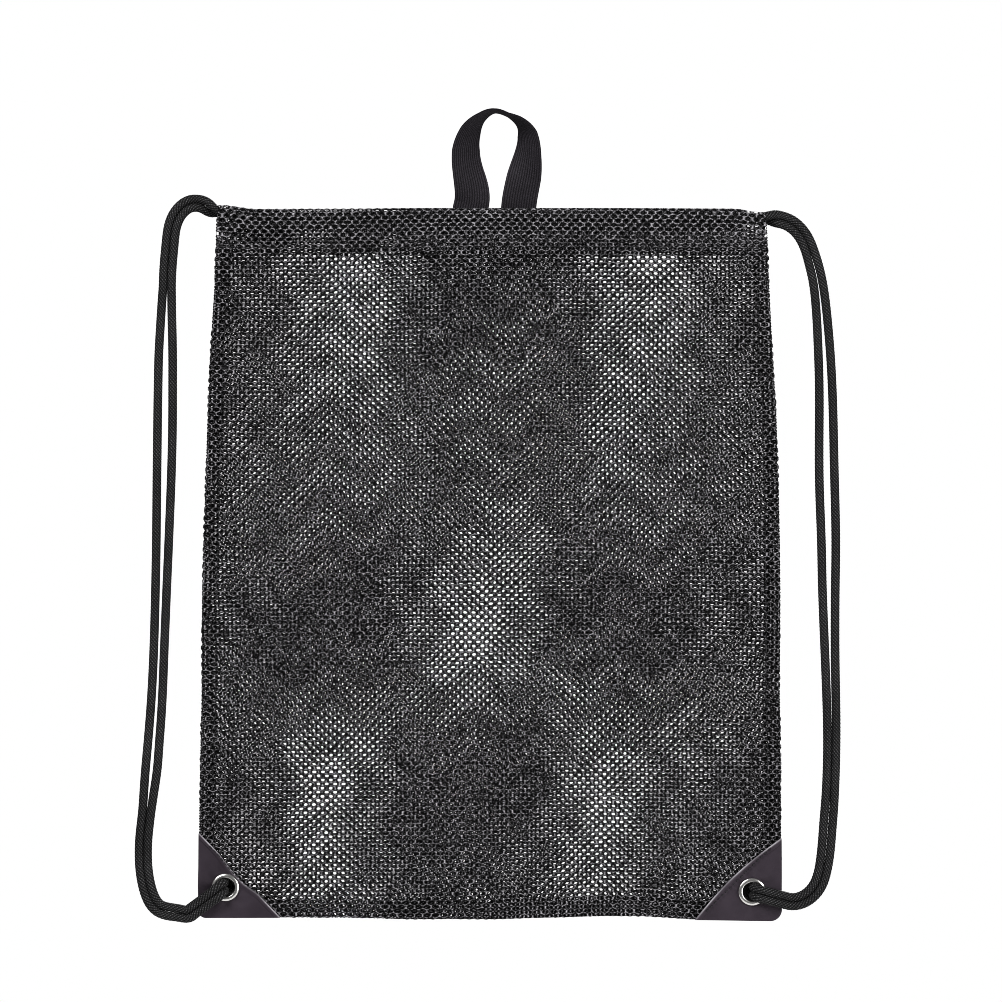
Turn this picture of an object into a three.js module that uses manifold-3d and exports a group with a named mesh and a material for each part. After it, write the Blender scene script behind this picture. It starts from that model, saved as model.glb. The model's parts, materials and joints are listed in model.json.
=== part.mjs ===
// A drawstring backpack in open knitted mesh, 14 by 18 inches, lying flat and slightly filled.
// Millimetres, +Z up along the bag's height, the front panel facing -Y, the origin at the middle of
// the bottom edge. Two knitted panels are sewn at the sides and bottom. Each panel's top is turned
// over into a casing. Two cords run through both casings, leave at opposite top corners as shoulder
// straps, and are knotted behind an eyelet in a coated patch at each bottom corner.
import * as THREE from "three";
import { mergeVertices } from "three/addons/utils/BufferGeometryUtils.js";
import Module from "manifold-3d";

const wasm = await Module();
wasm.setup();

// Bag
const BAG_HEIGHT = 457;
const HALF_WIDTH_BOTTOM = 187;
const HALF_WIDTH_TOP = 176.5;
const CORNER_CHAMFER = 3;
const FABRIC = 1.3;
const HALF_FABRIC = FABRIC / 2;
const PANEL_STEPS = 16;

// How far each panel's middle layer stands from the bag's mid-plane
const SEAM_STANDOFF = 0.95;
const CASING_STANDOFF = 4.7;
const FILLED_STANDOFF = 9.5;
const SIDE_RAMP = [6, 110];
const BOTTOM_RAMP = [8, 98];
const CASING_RAMP = [412, 433];

// Casing: a flattened tube along the top of each panel, open at both ends
const CASING_START = 433;
const CASING_HALF_DEPTH = 4.3;
const CHANNEL_HALF_DEPTH = 3.1;
const BEND_NOTCH = { fromX: 166, bottom: 440.4, top: 453.4, halfDepth: 5.4 };
const EXIT_NOTCH = { fromX: 169.5, bottom: 440, top: 458, halfDepth: 7.2 };

// Cord
const CORD_RADIUS = 2.4;
const CORD_SIDES = 6;
const STRAND_PITCH = 5.2;
const BEND_X = 167.5;
const BEND_RADIUS = CASING_STANDOFF;
const PIVOT_GAP = 4.6;
const TAIL_PIVOT_GAP = 5.6;
const END_GAP = 0.4;

// Corner patches and eyelets
const PATCH_LEG = 56;
const PATCH_INNER = 2.2;
const PATCH_THICKNESS = 0.8;
const PATCH_OUTER = PATCH_INNER + PATCH_THICKNESS;
const EYELET_HOLE = 5.7;
const BARREL_RADIUS = 6.5;
const FLANGE_RADIUS = 9;
const CUT_RADIUS = BARREL_RADIUS + 0.3;
const WASHER_THICKNESS = 0.8;
const EYELET_SEGMENTS = 20;

// Hang loop webbing
const WEBBING_WIDTH = 22.5;
const WEBBING_THICKNESS = 1.4;
const LOOP_BASE_Y = 3.9;
const LOOP_HINGE_Z = 458.8;
const LOOP_START_Z = LOOP_HINGE_Z + 1;
const LEG_X = { left: -12, right: 19 };
const LEG_END_BOTTOM = 437.5;
const LEG_END_TOP = LOOP_HINGE_Z - 1.6;
const APEX = { x: 9.4, halfLength: 4, z: 518.3 };

// Sewing thread, shown as one fine bar for each row
const THREAD_WIDTH = 0.8;
const THREAD_THICKNESS = 0.4;
const THREAD_GAP = 0.3;

// What differs between the left and the right of the bag. Strap outlines run from the casing
// exit down to the pivot beside the bottom corner, as [x, z] of the middle of the two strands.
const SIDES = {
  left: {
    sign: -1,
    eyelet: { x: -168.6, z: 21.8 },
    runZ: 450.6,
    pivotTop: { x: -190.5, z: 459.6 },
    pivotBottom: { x: -197, z: 5.4 },
    spread: 3.4,
    spreadCentre: 0.32,
    strap: [
      [-190.5, 459.6], [-196, 458], [-201, 450], [-204, 436], [-206.2, 414], [-207.5, 370],
      [-208.2, 300], [-210, 222], [-213.2, 144], [-218.8, 78], [-221.2, 50],
      [-219.4, 26], [-213, 10.4], [-205, 6.2], [-197, 5.4],
    ],
  },
  right: {
    sign: 1,
    eyelet: { x: 168.4, z: 19 },
    runZ: 445.2,
    pivotTop: { x: 190.5, z: 448 },
    pivotBottom: { x: 197, z: 13.2 },
    spread: 4.6,
    spreadCentre: 0.42,
    strap: [
      [190.5, 448], [196, 445.4], [202, 437.4], [207, 424], [211, 406], [215.2, 352],
      [216.6, 285], [218.2, 235], [219.2, 180], [220.5, 112], [218, 60], [213.8, 34],
      [206.6, 18], [197, 13.2],
    ],
  },
};
const PIVOT_BOTTOM_Y = -5.9;

const knit = new THREE.MeshStandardMaterial({ color: 0x242427, roughness: 0.85, metalness: 0 });
const cordMaterial = new THREE.MeshStandardMaterial({ color: 0x17171a, roughness: 0.75, metalness: 0 });
const webbing = new THREE.MeshStandardMaterial({ color: 0x1b1b1e, roughness: 0.7, metalness: 0 });
const coated = new THREE.MeshStandardMaterial({ color: 0x38353a, roughness: 0.55, metalness: 0 });
const nickel = new THREE.MeshStandardMaterial({ color: 0xd8d8da, roughness: 0.2, metalness: 1 });
const thread = new THREE.MeshStandardMaterial({ color: 0x202022, roughness: 0.7, metalness: 0 });

const bag = new THREE.Group();

// ---- Shared geometry helpers ----

function bareGeometry(geometry) {
  const bare = geometry.clone();
  bare.deleteAttribute("normal");
  bare.deleteAttribute("uv");
  return mergeVertices(bare, 1e-4);
}

function signedVolume(geometry) {
  const position = geometry.attributes.position;
  const index = geometry.index.array;
  const a = new THREE.Vector3();
  const b = new THREE.Vector3();
  const c = new THREE.Vector3();
  let sum = 0;
  for (let i = 0; i < index.length; i += 3) {
    a.fromBufferAttribute(position, index[i]);
    b.fromBufferAttribute(position, index[i + 1]);
    c.fromBufferAttribute(position, index[i + 2]);
    sum += a.dot(b.cross(c));
  }
  return sum;
}

// Merged vertices, with every face turned outward.
function outward(geometry) {
  const made = bareGeometry(geometry);
  if (signedVolume(made) < 0) {
    const index = made.index.array;
    for (let i = 0; i < index.length; i += 3) {
      [index[i], index[i + 1]] = [index[i + 1], index[i]];
    }
  }
  made.computeVertexNormals();
  return made;
}

function mapVertices(geometry, place) {
  const position = geometry.attributes.position;
  for (let i = 0; i < position.count; i += 1) {
    const [x, y, z] = place(position.getX(i), position.getY(i), position.getZ(i));
    position.setXYZ(i, x, y, z);
  }
  return outward(geometry);
}

function solidOf(geometry) {
  const merged = outward(geometry);
  return new wasm.Manifold(
    new wasm.Mesh({
      numProp: 3,
      vertProperties: Float32Array.from(merged.attributes.position.array),
      triVerts: Uint32Array.from(merged.index.array),
    }),
  );
}

function geometryOf(solid) {
  const mesh = solid.getMesh();
  const geometry = new THREE.BufferGeometry();
  geometry.setAttribute("position", new THREE.BufferAttribute(mesh.vertProperties, 3));
  geometry.setIndex(new THREE.BufferAttribute(mesh.triVerts, 1));
  geometry.computeVertexNormals();
  return geometry;
}

function addPiece(name, geometry, material) {
  const mesh = new THREE.Mesh(geometry, material);
  mesh.name = name;
  bag.add(mesh);
}

function smoothRamp(value, [from, to]) {
  return THREE.MathUtils.smoothstep(value, from, to);
}

// ---- The bag's outline and fullness ----

function halfWidth(z) {
  const taper = (HALF_WIDTH_BOTTOM - HALF_WIDTH_TOP) * (z / BAG_HEIGHT) ** 2;
  return HALF_WIDTH_BOTTOM - taper - Math.max(0, CORNER_CHAMFER - z);
}

// Distance of a panel's middle layer from the mid-plane; u runs from -1 to 1 across the bag.
function standoff(u, z) {
  const edge = THREE.MathUtils.lerp(SEAM_STANDOFF, CASING_STANDOFF, smoothRamp(z, CASING_RAMP));
  const side = smoothRamp((1 - Math.abs(u)) * HALF_WIDTH_BOTTOM, SIDE_RAMP);
  return THREE.MathUtils.lerp(edge, FILLED_STANDOFF, side * smoothRamp(z, BOTTOM_RAMP));
}

// ---- Panels with their casings ----

function panelSection() {
  const heights = [0, CORNER_CHAMFER, 8, 26, 44, 62, 80, 98, 176, 254, 333, 412, 419, 426, CASING_START];
  const casing = [
    [436, 2.6], [439, CASING_HALF_DEPTH], [450, CASING_HALF_DEPTH], [454.8, 2.9], [BAG_HEIGHT, 0],
  ];
  const outer = [...heights.map((z) => [z, HALF_FABRIC]), ...casing];
  const inner = outer.slice(0, -1).reverse().map(([z, depth]) => [z, -depth]);
  const section = new THREE.Shape([...outer, ...inner].map(([z, depth]) => new THREE.Vector2(z, depth)));
  const channel = [
    [437.4, 0], [439.2, -2], [441.4, -CHANNEL_HALF_DEPTH], [449.8, -CHANNEL_HALF_DEPTH],
    [453.2, -2.1], [455.6, 0],
  ];
  const mirrored = channel.slice(1, -1).reverse().map(([z, depth]) => [z, -depth]);
  const loop = [...channel, ...mirrored].map(([z, depth]) => new THREE.Vector2(z, depth));
  section.holes.push(new THREE.Path(loop));
  return section;
}

function eyeletCutter({ x, z }) {
  const length = 40;
  const drill = new THREE.CylinderGeometry(CUT_RADIUS, CUT_RADIUS, length, EYELET_SEGMENTS);
  return solidOf(drill.translate(x, 0, z));
}

// Room at a casing's end: one cord turns from one casing into the other through the inner walls,
// and the other cord leaves upward.
function notchCutter(sign, notch) {
  const width = HALF_WIDTH_BOTTOM - notch.fromX;
  const box = new THREE.BoxGeometry(width, 2 * notch.halfDepth, notch.top - notch.bottom);
  return solidOf(box.translate(sign * (notch.fromX + width / 2), 0, (notch.top + notch.bottom) / 2));
}

function panel(face) {
  const options = { depth: 2, steps: PANEL_STEPS, bevelEnabled: false };
  const extruded = new THREE.ExtrudeGeometry(panelSection(), options);
  const sheet = mapVertices(extruded, (z, depth, along) => {
    const u = along - 1;
    return [u * halfWidth(z), face * (standoff(u, z) + depth), z];
  });
  let solid = solidOf(sheet);
  for (const side of Object.values(SIDES)) {
    solid = solid
      .subtract(eyeletCutter(side.eyelet))
      .subtract(notchCutter(side.sign, BEND_NOTCH))
      .subtract(notchCutter(side.sign, EXIT_NOTCH));
  }
  return geometryOf(solid);
}

addPiece("front_panel", panel(-1), knit);
addPiece("back_panel", panel(1), knit);

// ---- Corner patches, eyelets and washers ----

function cornerPatch({ sign, eyelet }, face) {
  const corner = new THREE.Shape([
    new THREE.Vector2(sign * HALF_WIDTH_BOTTOM, CORNER_CHAMFER),
    new THREE.Vector2(sign * halfWidth(PATCH_LEG), PATCH_LEG),
    new THREE.Vector2(sign * (HALF_WIDTH_BOTTOM - PATCH_LEG), 0),
    new THREE.Vector2(sign * (HALF_WIDTH_BOTTOM - CORNER_CHAMFER), 0),
  ]);
  const plate = new THREE.ExtrudeGeometry(corner, { depth: PATCH_THICKNESS, bevelEnabled: false });
  const placed = mapVertices(plate, (x, z, depth) => [x, face * (PATCH_INNER + depth), z]);
  return geometryOf(solidOf(placed).subtract(eyeletCutter(eyelet)));
}

function turned(profile, { x, z }) {
  const points = [...profile, profile[0]].map(([radius, y]) => new THREE.Vector2(radius, y));
  return outward(new THREE.LatheGeometry(points, EYELET_SEGMENTS).translate(x, 0, z));
}

// Flange on the front, barrel through every layer, lip rolled over the washer at the back.
function eyelet(place) {
  const front = -(PATCH_OUTER + THREAD_GAP);
  const lip = PATCH_OUTER + THREAD_GAP + WASHER_THICKNESS + 0.3;
  return turned([
    [EYELET_HOLE, front - 0.9], [6.4, front - 1.6], [8.2, front - 1.4], [FLANGE_RADIUS, front - 0.6],
    [FLANGE_RADIUS, front], [BARREL_RADIUS, front], [BARREL_RADIUS, lip], [7.9, lip],
    [7.9, lip + 0.4], [6.7, lip + 0.8], [EYELET_HOLE, lip + 0.2],
  ], place);
}

function washer(place) {
  const near = PATCH_OUTER + THREAD_GAP;
  const far = near + WASHER_THICKNESS;
  return turned([
    [CUT_RADIUS, near], [FLANGE_RADIUS, near], [FLANGE_RADIUS, far - 0.3], [FLANGE_RADIUS - 0.4, far],
    [CUT_RADIUS, far],
  ], place);
}

for (const [name, side] of Object.entries(SIDES)) {
  addPiece(`${name}_front_patch`, cornerPatch(side, -1), coated);
  addPiece(`${name}_back_patch`, cornerPatch(side, 1), coated);
  addPiece(`${name}_eyelet`, eyelet(side.eyelet), nickel);
  addPiece(`${name}_eyelet_washer`, washer(side.eyelet), nickel);
}

// ---- Cords ----

function cordAlong(points, steps) {
  const round = new THREE.Shape();
  round.absarc(0, 0, CORD_RADIUS, 0, 2 * Math.PI);
  const path = new THREE.CatmullRomCurve3(points, false, "centripetal");
  const swept = new THREE.ExtrudeGeometry(round, { steps, curveSegments: CORD_SIDES / 2, extrudePath: path });
  return outward(swept);
}

// One strand of a shoulder strap: the strap's middle line moved sideways by half the strands' pitch.
function strapStrand({ sign, strap, spread, spreadCentre }, outer) {
  const middle = new THREE.CatmullRomCurve3(
    strap.map(([x, z]) => new THREE.Vector3(x, 0, z)), false, "centripetal");
  const samples = 30;
  const points = [];
  for (let i = 0; i <= samples; i += 1) {
    const t = i / samples;
    const centre = middle.getPointAt(t);
    const along = middle.getTangentAt(t);
    const opening = spread * Math.exp(-(((t - spreadCentre) / 0.2) ** 2));
    const shift = ((STRAND_PITCH + opening) / 2) * (outer ? 1 : -1);
    const depth = PIVOT_BOTTOM_Y * THREE.MathUtils.smoothstep(t, 0.1, 1);
    points.push(new THREE.Vector3(
      centre.x - sign * along.z * shift, depth, centre.z + sign * along.x * shift));
  }
  return cordAlong(points, 32);
}

// The part of the cord inside one casing, from its exit stub beside the strap's pivot to the bend
// at the far end of the bag.
function casingRun({ sign, runZ, pivotTop }, face, outer) {
  const points = [];
  const stations = 12;
  for (let i = 0; i <= stations; i += 1) {
    const x = THREE.MathUtils.lerp(-sign * (BEND_X - END_GAP), sign * BEND_X, i / stations);
    points.push(new THREE.Vector3(x, face * standoff(x / halfWidth(runZ), runZ), runZ));
  }
  const exit = pivotTop.z + (outer ? STRAND_PITCH : -STRAND_PITCH) / 2;
  const mouthX = HALF_WIDTH_TOP - 2;
  const stubX = Math.abs(pivotTop.x) - PIVOT_GAP;
  const climb = outer ? [0, 0.78] : [0, 0.24];
  points.push(new THREE.Vector3(sign * mouthX, face * 4.3, THREE.MathUtils.lerp(runZ, exit, climb[0])));
  points.push(new THREE.Vector3(sign * (mouthX + 6), face * 2.6, THREE.MathUtils.lerp(runZ, exit, climb[1])));
  points.push(new THREE.Vector3(sign * stubX, 0, exit));
  return cordAlong(points, 36);
}

// The turn of a cord from the front casing into the back casing, at the far top corner.
function casingBend({ sign, runZ }) {
  const points = [];
  const stations = 8;
  for (let i = 0; i <= stations; i += 1) {
    const angle = (Math.PI * i) / stations;
    points.push(new THREE.Vector3(
      -sign * (BEND_X + BEND_RADIUS * Math.sin(angle)), -BEND_RADIUS * Math.cos(angle), runZ));
  }
  return cordAlong(points, 8);
}

// From the strap's lower pivot, over the corner patch and the flange, and through the eyelet.
function cornerTail({ sign, eyelet: hole, pivotBottom }, outer) {
  const shift = (outer ? -1 : 1) * (STRAND_PITCH + 0.1) / 2;
  const start = new THREE.Vector2(Math.abs(pivotBottom.x) - TAIL_PIVOT_GAP, pivotBottom.z);
  const end = new THREE.Vector2(Math.abs(hole.x) + 1, hole.z);
  const across = end.clone().sub(start).normalize();
  const at = (share, y) => {
    const point = start.clone().lerp(end, share);
    return new THREE.Vector3(sign * (point.x + shift * across.y), y, point.y - shift * across.x);
  };
  const flat = (x, y) => new THREE.Vector3(sign * x, y, hole.z + shift);
  return cordAlong([
    at(0, PIVOT_BOTTOM_Y), at(0.25, -6.6), at(0.62, -8.2),
    at(0.86, -8.9), flat(end.x + 0.6, -6.6), flat(end.x, -3), flat(end.x, 5.5),
  ], 16);
}

// Both ends tied together in one stopper knot behind the washer.
function stopperKnot({ eyelet: hole }) {
  const ring = 4.2;
  const tightenedCord = 1.85;
  const centreY = 9.75;
  const knot = new THREE.TorusKnotGeometry(ring, tightenedCord, 36, 5, 2, 3);
  return mapVertices(knot, (x, y, z) => [hole.x + x, centreY + z, hole.z + y]);
}

for (const [name, side] of Object.entries(SIDES)) {
  addPiece(`${name}_strap_outer_strand`, strapStrand(side, true), cordMaterial);
  addPiece(`${name}_strap_inner_strand`, strapStrand(side, false), cordMaterial);
  addPiece(`${name}_cord_front_run`, casingRun(side, -1, true), cordMaterial);
  addPiece(`${name}_cord_back_run`, casingRun(side, 1, false), cordMaterial);
  addPiece(`${name}_cord_bend`, casingBend(side), cordMaterial);
  addPiece(`${name}_cord_outer_tail`, cornerTail(side, true), cordMaterial);
  addPiece(`${name}_cord_inner_tail`, cornerTail(side, false), cordMaterial);
  addPiece(`${name}_cord_knot`, stopperKnot(side), cordMaterial);
}

// ---- Hang loop ----

// The webbing's middle line. Each leg turns a quarter turn on its way up, so that it lies flat
// across the bag at the casing and front to back at the level top.
function loopPath() {
  const lean = (z) => LOOP_BASE_Y * (1 - smoothRamp(z, [LOOP_START_Z, APEX.z]));
  const outline = [
    [LEG_X.left, LOOP_START_Z], [LEG_X.left - 1.2, 480], [LEG_X.left - 1.6, 494], [-9.4, 506],
    [-2.6, 514.6], [APEX.x - APEX.halfLength, APEX.z], [APEX.x + APEX.halfLength, APEX.z],
    [20.4, 513.6], [24.6, 504], [25, 492], [22.2, 476], [LEG_X.right, LOOP_START_Z],
  ];
  return outline.map(([x, z]) => new THREE.Vector3(x, lean(z), z));
}

function loopTurns() {
  const quarter = Math.PI / 2;
  return [0, 0.05, 0.22, 0.5, 0.82, 1, 1, 1.18, 1.5, 1.78, 1.95, 2].map((turn) => turn * quarter);
}

function hangLoop() {
  const path = loopPath();
  const turns = loopTurns();
  const rungs = path.length - 1;
  const strip = new THREE.BoxGeometry(WEBBING_WIDTH, WEBBING_THICKNESS, rungs, 1, 1, rungs);
  const frames = path.map((point, i) => {
    const before = path[Math.max(i - 1, 0)];
    const after = path[Math.min(i + 1, rungs)];
    const along = after.clone().sub(before).normalize();
    if (i === 0 || i === rungs) along.set(0, 0, i === 0 ? 1 : -1);
    if (point.z === APEX.z) along.set(1, 0, 0);
    const width = new THREE.Vector3(Math.cos(turns[i]), Math.sin(turns[i]), 0);
    width.addScaledVector(along, -width.dot(along)).normalize();
    return { point, width, normal: new THREE.Vector3().crossVectors(along, width) };
  });
  return mapVertices(strip, (across, through, along) => {
    const { point, width, normal } = frames[Math.round(along + rungs / 2)];
    const placed = point.clone().addScaledVector(width, across).addScaledVector(normal, through);
    return placed.toArray();
  });
}

// The end of one leg, sewn to the inner wall of the back casing.
function legEnd(x) {
  const height = LEG_END_TOP - LEG_END_BOTTOM;
  const box = new THREE.BoxGeometry(WEBBING_WIDTH, WEBBING_THICKNESS, height);
  return outward(box.translate(x, LOOP_BASE_Y, LEG_END_BOTTOM + height / 2));
}

addPiece("hang_loop", hangLoop(), webbing);
addPiece("hang_loop_left_end", legEnd(LEG_X.left), webbing);
addPiece("hang_loop_right_end", legEnd(LEG_X.right), webbing);

// ---- Sewing threads ----

// A fine bar across the bag on a panel's outer face, at one height.
function threadAcross(face, z, reach) {
  const bar = new THREE.BoxGeometry(2, THREAD_THICKNESS, THREAD_WIDTH, PANEL_STEPS, 1, 1);
  return mapVertices(bar, (u, depth, rise) => {
    const height = z + rise;
    const outer = HALF_FABRIC + THREAD_GAP + THREAD_THICKNESS / 2;
    return [u * reach * halfWidth(height), face * (standoff(u * reach, height) + outer + depth), height];
  });
}

// A fine bar up the side of the bag on the front panel, just inside the edge.
function sideThread(sign) {
  const inset = 8;
  const top = 408;
  const bottom = PATCH_LEG + 3;
  const rows = 8;
  const clearance = 0.6;
  const bar = new THREE.BoxGeometry(THREAD_WIDTH, THREAD_THICKNESS, top - bottom, 1, 1, rows);
  return mapVertices(bar, (across, depth, rise) => {
    const z = rise + (top + bottom) / 2;
    return [sign * (halfWidth(z) - inset) + across, depth - SEAM_STANDOFF - HALF_FABRIC - clearance, z];
  });
}

// A fine bar along the long edge of a front corner patch.
function patchThread(sign) {
  const length = 60;
  const inset = 1.2;
  const run = PATCH_LEG / 2 - inset / Math.SQRT2;
  const y = -(PATCH_OUTER + THREAD_GAP + THREAD_THICKNESS / 2);
  const bar = new THREE.BoxGeometry(length, THREAD_THICKNESS, THREAD_WIDTH);
  bar.rotateY((sign * Math.PI) / 4);
  return outward(bar.rotateY((-sign * Math.PI) / 2).translate(sign * (HALF_WIDTH_BOTTOM - run), y, run));
}

// The tack that holds both legs of the hang loop to the back casing, on the webbing's free face.
function loopTack() {
  const left = LEG_X.left - WEBBING_WIDTH / 2 + 1;
  const right = LEG_X.right + WEBBING_WIDTH / 2 - 1;
  const y = LOOP_BASE_Y - WEBBING_THICKNESS / 2 - THREAD_GAP - THREAD_THICKNESS / 2;
  const bar = new THREE.BoxGeometry(right - left, THREAD_THICKNESS, THREAD_WIDTH);
  return outward(bar.translate((left + right) / 2, y, (LEG_END_BOTTOM + LEG_END_TOP) / 2));
}

const CASING_STITCH_Z = 431.4;
const BOTTOM_STITCH_Z = 5.5;
const BOTTOM_STITCH_REACH = (HALF_WIDTH_BOTTOM - PATCH_LEG - 4) / HALF_WIDTH_BOTTOM;
addPiece("front_casing_stitch", threadAcross(-1, CASING_STITCH_Z, 1), thread);
addPiece("back_casing_stitch", threadAcross(1, CASING_STITCH_Z, 1), thread);
addPiece("bottom_seam_thread", threadAcross(-1, BOTTOM_STITCH_Z, BOTTOM_STITCH_REACH), thread);
addPiece("hang_loop_tack", loopTack(), thread);
for (const [name, side] of Object.entries(SIDES)) {
  addPiece(`${name}_side_seam_thread`, sideThread(side.sign), thread);
  addPiece(`${name}_patch_thread`, patchThread(side.sign), thread);
}

export default bag;
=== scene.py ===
import json
import math

import bpy
import numpy as np
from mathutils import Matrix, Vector


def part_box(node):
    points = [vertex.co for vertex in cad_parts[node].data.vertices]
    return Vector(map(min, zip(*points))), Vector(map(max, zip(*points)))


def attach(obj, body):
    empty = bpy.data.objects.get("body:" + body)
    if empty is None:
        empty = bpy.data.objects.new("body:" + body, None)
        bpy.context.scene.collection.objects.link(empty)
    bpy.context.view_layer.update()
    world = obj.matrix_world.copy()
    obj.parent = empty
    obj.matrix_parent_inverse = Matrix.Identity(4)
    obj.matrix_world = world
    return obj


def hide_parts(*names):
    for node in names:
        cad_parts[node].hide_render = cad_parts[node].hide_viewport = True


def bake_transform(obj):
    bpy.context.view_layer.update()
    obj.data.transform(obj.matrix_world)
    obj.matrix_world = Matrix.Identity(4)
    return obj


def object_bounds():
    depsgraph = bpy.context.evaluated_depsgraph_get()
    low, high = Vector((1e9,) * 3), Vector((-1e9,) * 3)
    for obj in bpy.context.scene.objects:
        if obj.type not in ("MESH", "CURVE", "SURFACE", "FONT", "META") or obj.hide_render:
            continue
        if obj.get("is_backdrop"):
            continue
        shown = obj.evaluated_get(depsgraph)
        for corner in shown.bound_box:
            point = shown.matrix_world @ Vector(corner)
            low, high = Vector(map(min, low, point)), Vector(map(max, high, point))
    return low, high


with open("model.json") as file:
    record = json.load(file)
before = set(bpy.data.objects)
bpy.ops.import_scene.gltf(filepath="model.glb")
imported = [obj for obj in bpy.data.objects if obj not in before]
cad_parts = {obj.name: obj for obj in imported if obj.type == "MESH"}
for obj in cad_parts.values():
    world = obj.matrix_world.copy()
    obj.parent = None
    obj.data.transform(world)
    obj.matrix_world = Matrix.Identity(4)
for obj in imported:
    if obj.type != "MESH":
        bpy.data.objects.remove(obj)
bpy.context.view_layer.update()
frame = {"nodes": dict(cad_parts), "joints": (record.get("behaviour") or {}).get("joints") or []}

MM = 0.001


def box_mm(node):
    """Lowest and highest corner of a CAD node, in millimetres."""
    low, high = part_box(node)
    return np.array(low) / MM, np.array(high) / MM


def centre_mm(node):
    """Middle of a CAD node's box, in millimetres."""
    low, high = box_mm(node)
    return (low + high) / 2


def joint_mm(name):
    """Where a joint's axis passes, in millimetres."""
    return np.array(next(j for j in frame["joints"] if j["name"] == name)["pos_m"]) / MM


def ramp(value, start, end):
    """A smooth step from 0 at start to 1 at end."""
    t = np.clip((np.asarray(value, float) - start) / (end - start), 0, 1)
    return t * t * (3 - 2 * t)


# ---- The bag's shape, in step with the CAD panels ----

PANEL_LOW, PANEL_HIGH = box_mm("front_panel")
HEIGHT = PANEL_HIGH[2]
HALF_BOTTOM = PANEL_HIGH[0]
STITCH_LOW, STITCH_HIGH = box_mm("front_casing_stitch")
STITCH_Z = (STITCH_LOW[2] + STITCH_HIGH[2]) / 2
TAPER = (HALF_BOTTOM - STITCH_HIGH[0]) / (STITCH_Z / HEIGHT) ** 2
CORNER_CHAMFER = 3
CASING_HALF_DEPTH = 4.3
SEAM_STANDOFF = 0.95
CASING_STANDOFF = 4.7
FILLED_STANDOFF = -PANEL_LOW[1] - CASING_HALF_DEPTH


def half_width(z):
    z = np.asarray(z, float)
    return HALF_BOTTOM - TAPER * (z / HEIGHT) ** 2 - np.maximum(0, CORNER_CHAMFER - z)


def standoff(x, z):
    """How far a panel's middle layer stands from the bag's mid-plane."""
    edge = SEAM_STANDOFF + (CASING_STANDOFF - SEAM_STANDOFF) * ramp(z, 412, 433)
    side = ramp((1 - np.abs(x) / half_width(z)) * HALF_BOTTOM, 6, 110)
    return edge + (FILLED_STANDOFF - edge) * side * ramp(z, 8, 98)


LIE_HEIGHTS = [0, 60, 150, 211, 260, 330, 365, 410, 457]
LEAN_LEFT = [0.9, 1.0, 1.7, 0.8, 1.1, 1.4, 1.7, 2.7, 2.7]
LEAN_RIGHT = [0.4, 0.4, 0.5, 2.1, 2.6, 2.5, 1.4, 1.0, 0.6]
HEM_PLACES = [-187, -130, -90, -50, 0, 45, 75, 100, 130, 187]
EYELET_HOLD = 9, 22  # nearer an eyelet than the first, fabric keeps to the CAD; past the second it's free
HEM_RISE = [2.1, 2.2, 1.9, 1.0, 1.2, 2.3, 3.3, 3.1, 0.8, 0.0]


def lie(x, z):
    """How far the soft panels lie off the CAD's straight outline: slightly uneven sides, a bottom edge
    that isn't quite straight, a sagging casing, and top corners drawn up or down by the cords there."""
    share = np.clip(0.5 + 0.5 * x / half_width(z), 0, 1)
    left, right = np.interp(z, LIE_HEIGHTS, LEAN_LEFT), np.interp(z, LIE_HEIGHTS, LEAN_RIGHT)
    lean = left * (1 - share) + right * share
    hem = np.interp(x, HEM_PLACES, HEM_RISE) * (1 - ramp(z, 0, 110))
    sag = 0.7 * ramp(z, 400, HEIGHT)
    lift = (2.6 * ramp(-x, 150, 174) - 1.9 * ramp(x, 154, 175)) * ramp(z, 425, HEIGHT)
    return lean, hem - sag + lift


def held_lie(x, z):
    """The same near the bottom corners, where the eyelets hold the fabric to the CAD."""
    holes = centre_mm("left_eyelet"), centre_mm("right_eyelet")
    free = ramp(np.minimum(*(np.hypot(x - hole[0], z - hole[2]) for hole in holes)), *EYELET_HOLD)
    lean, rise = lie(x, z)
    return lean * free, rise * free


def ripple(x, z):
    """Small slow waves that a knitted panel lying slack takes, fading at every seam."""
    waves = (
        np.sin(x / 21.0 + 0.7 * np.sin(z / 60.0)) * np.sin(z / 47.0 + 1.3)
        + 0.6 * np.sin(x / 13.0 - z / 31.0 + 2.0)
        + 0.5 * np.sin(x / 37.0 + z / 19.0)
    )
    fade = ramp(half_width(z) - np.abs(x), 4, 40) * ramp(z, 14, 60) * ramp(STITCH_Z - z, 2, 30)
    return 0.55 * waves * fade


# ---- Meshes ----


def make_object(name, points, faces, painted_highlight=None):
    """A smooth-shaded mesh from points in millimetres. faces is a list of index arrays, one for each number
    of corners. painted_highlight, from 0 to 1, is how much of the highlight painted into the material's
    colour each point gets; on yarn it follows how high the point stands."""
    mesh = bpy.data.meshes.new(name)
    mesh.vertices.add(len(points))
    mesh.vertices.foreach_set("co", (np.asarray(points) * MM).astype(np.float32).ravel())
    loops = np.concatenate([f.ravel() for f in faces]).astype(np.int32)
    counts = np.concatenate([np.full(len(f), f.shape[1]) for f in faces])
    starts = np.concatenate([[0], np.cumsum(counts)[:-1]]).astype(np.int32)
    mesh.loops.add(len(loops))
    mesh.loops.foreach_set("vertex_index", loops)
    mesh.polygons.add(len(counts))
    mesh.polygons.foreach_set("loop_start", starts)
    mesh.polygons.foreach_set("use_smooth", np.ones(len(counts), bool))
    mesh.update(calc_edges=True)
    if painted_highlight is not None:
        mesh.attributes.new("painted_highlight", "FLOAT", "POINT").data.foreach_set(
            "value", np.asarray(painted_highlight, np.float32))
    made = bpy.data.objects.new(name, mesh)
    bpy.context.scene.collection.objects.link(made)
    return made


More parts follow.
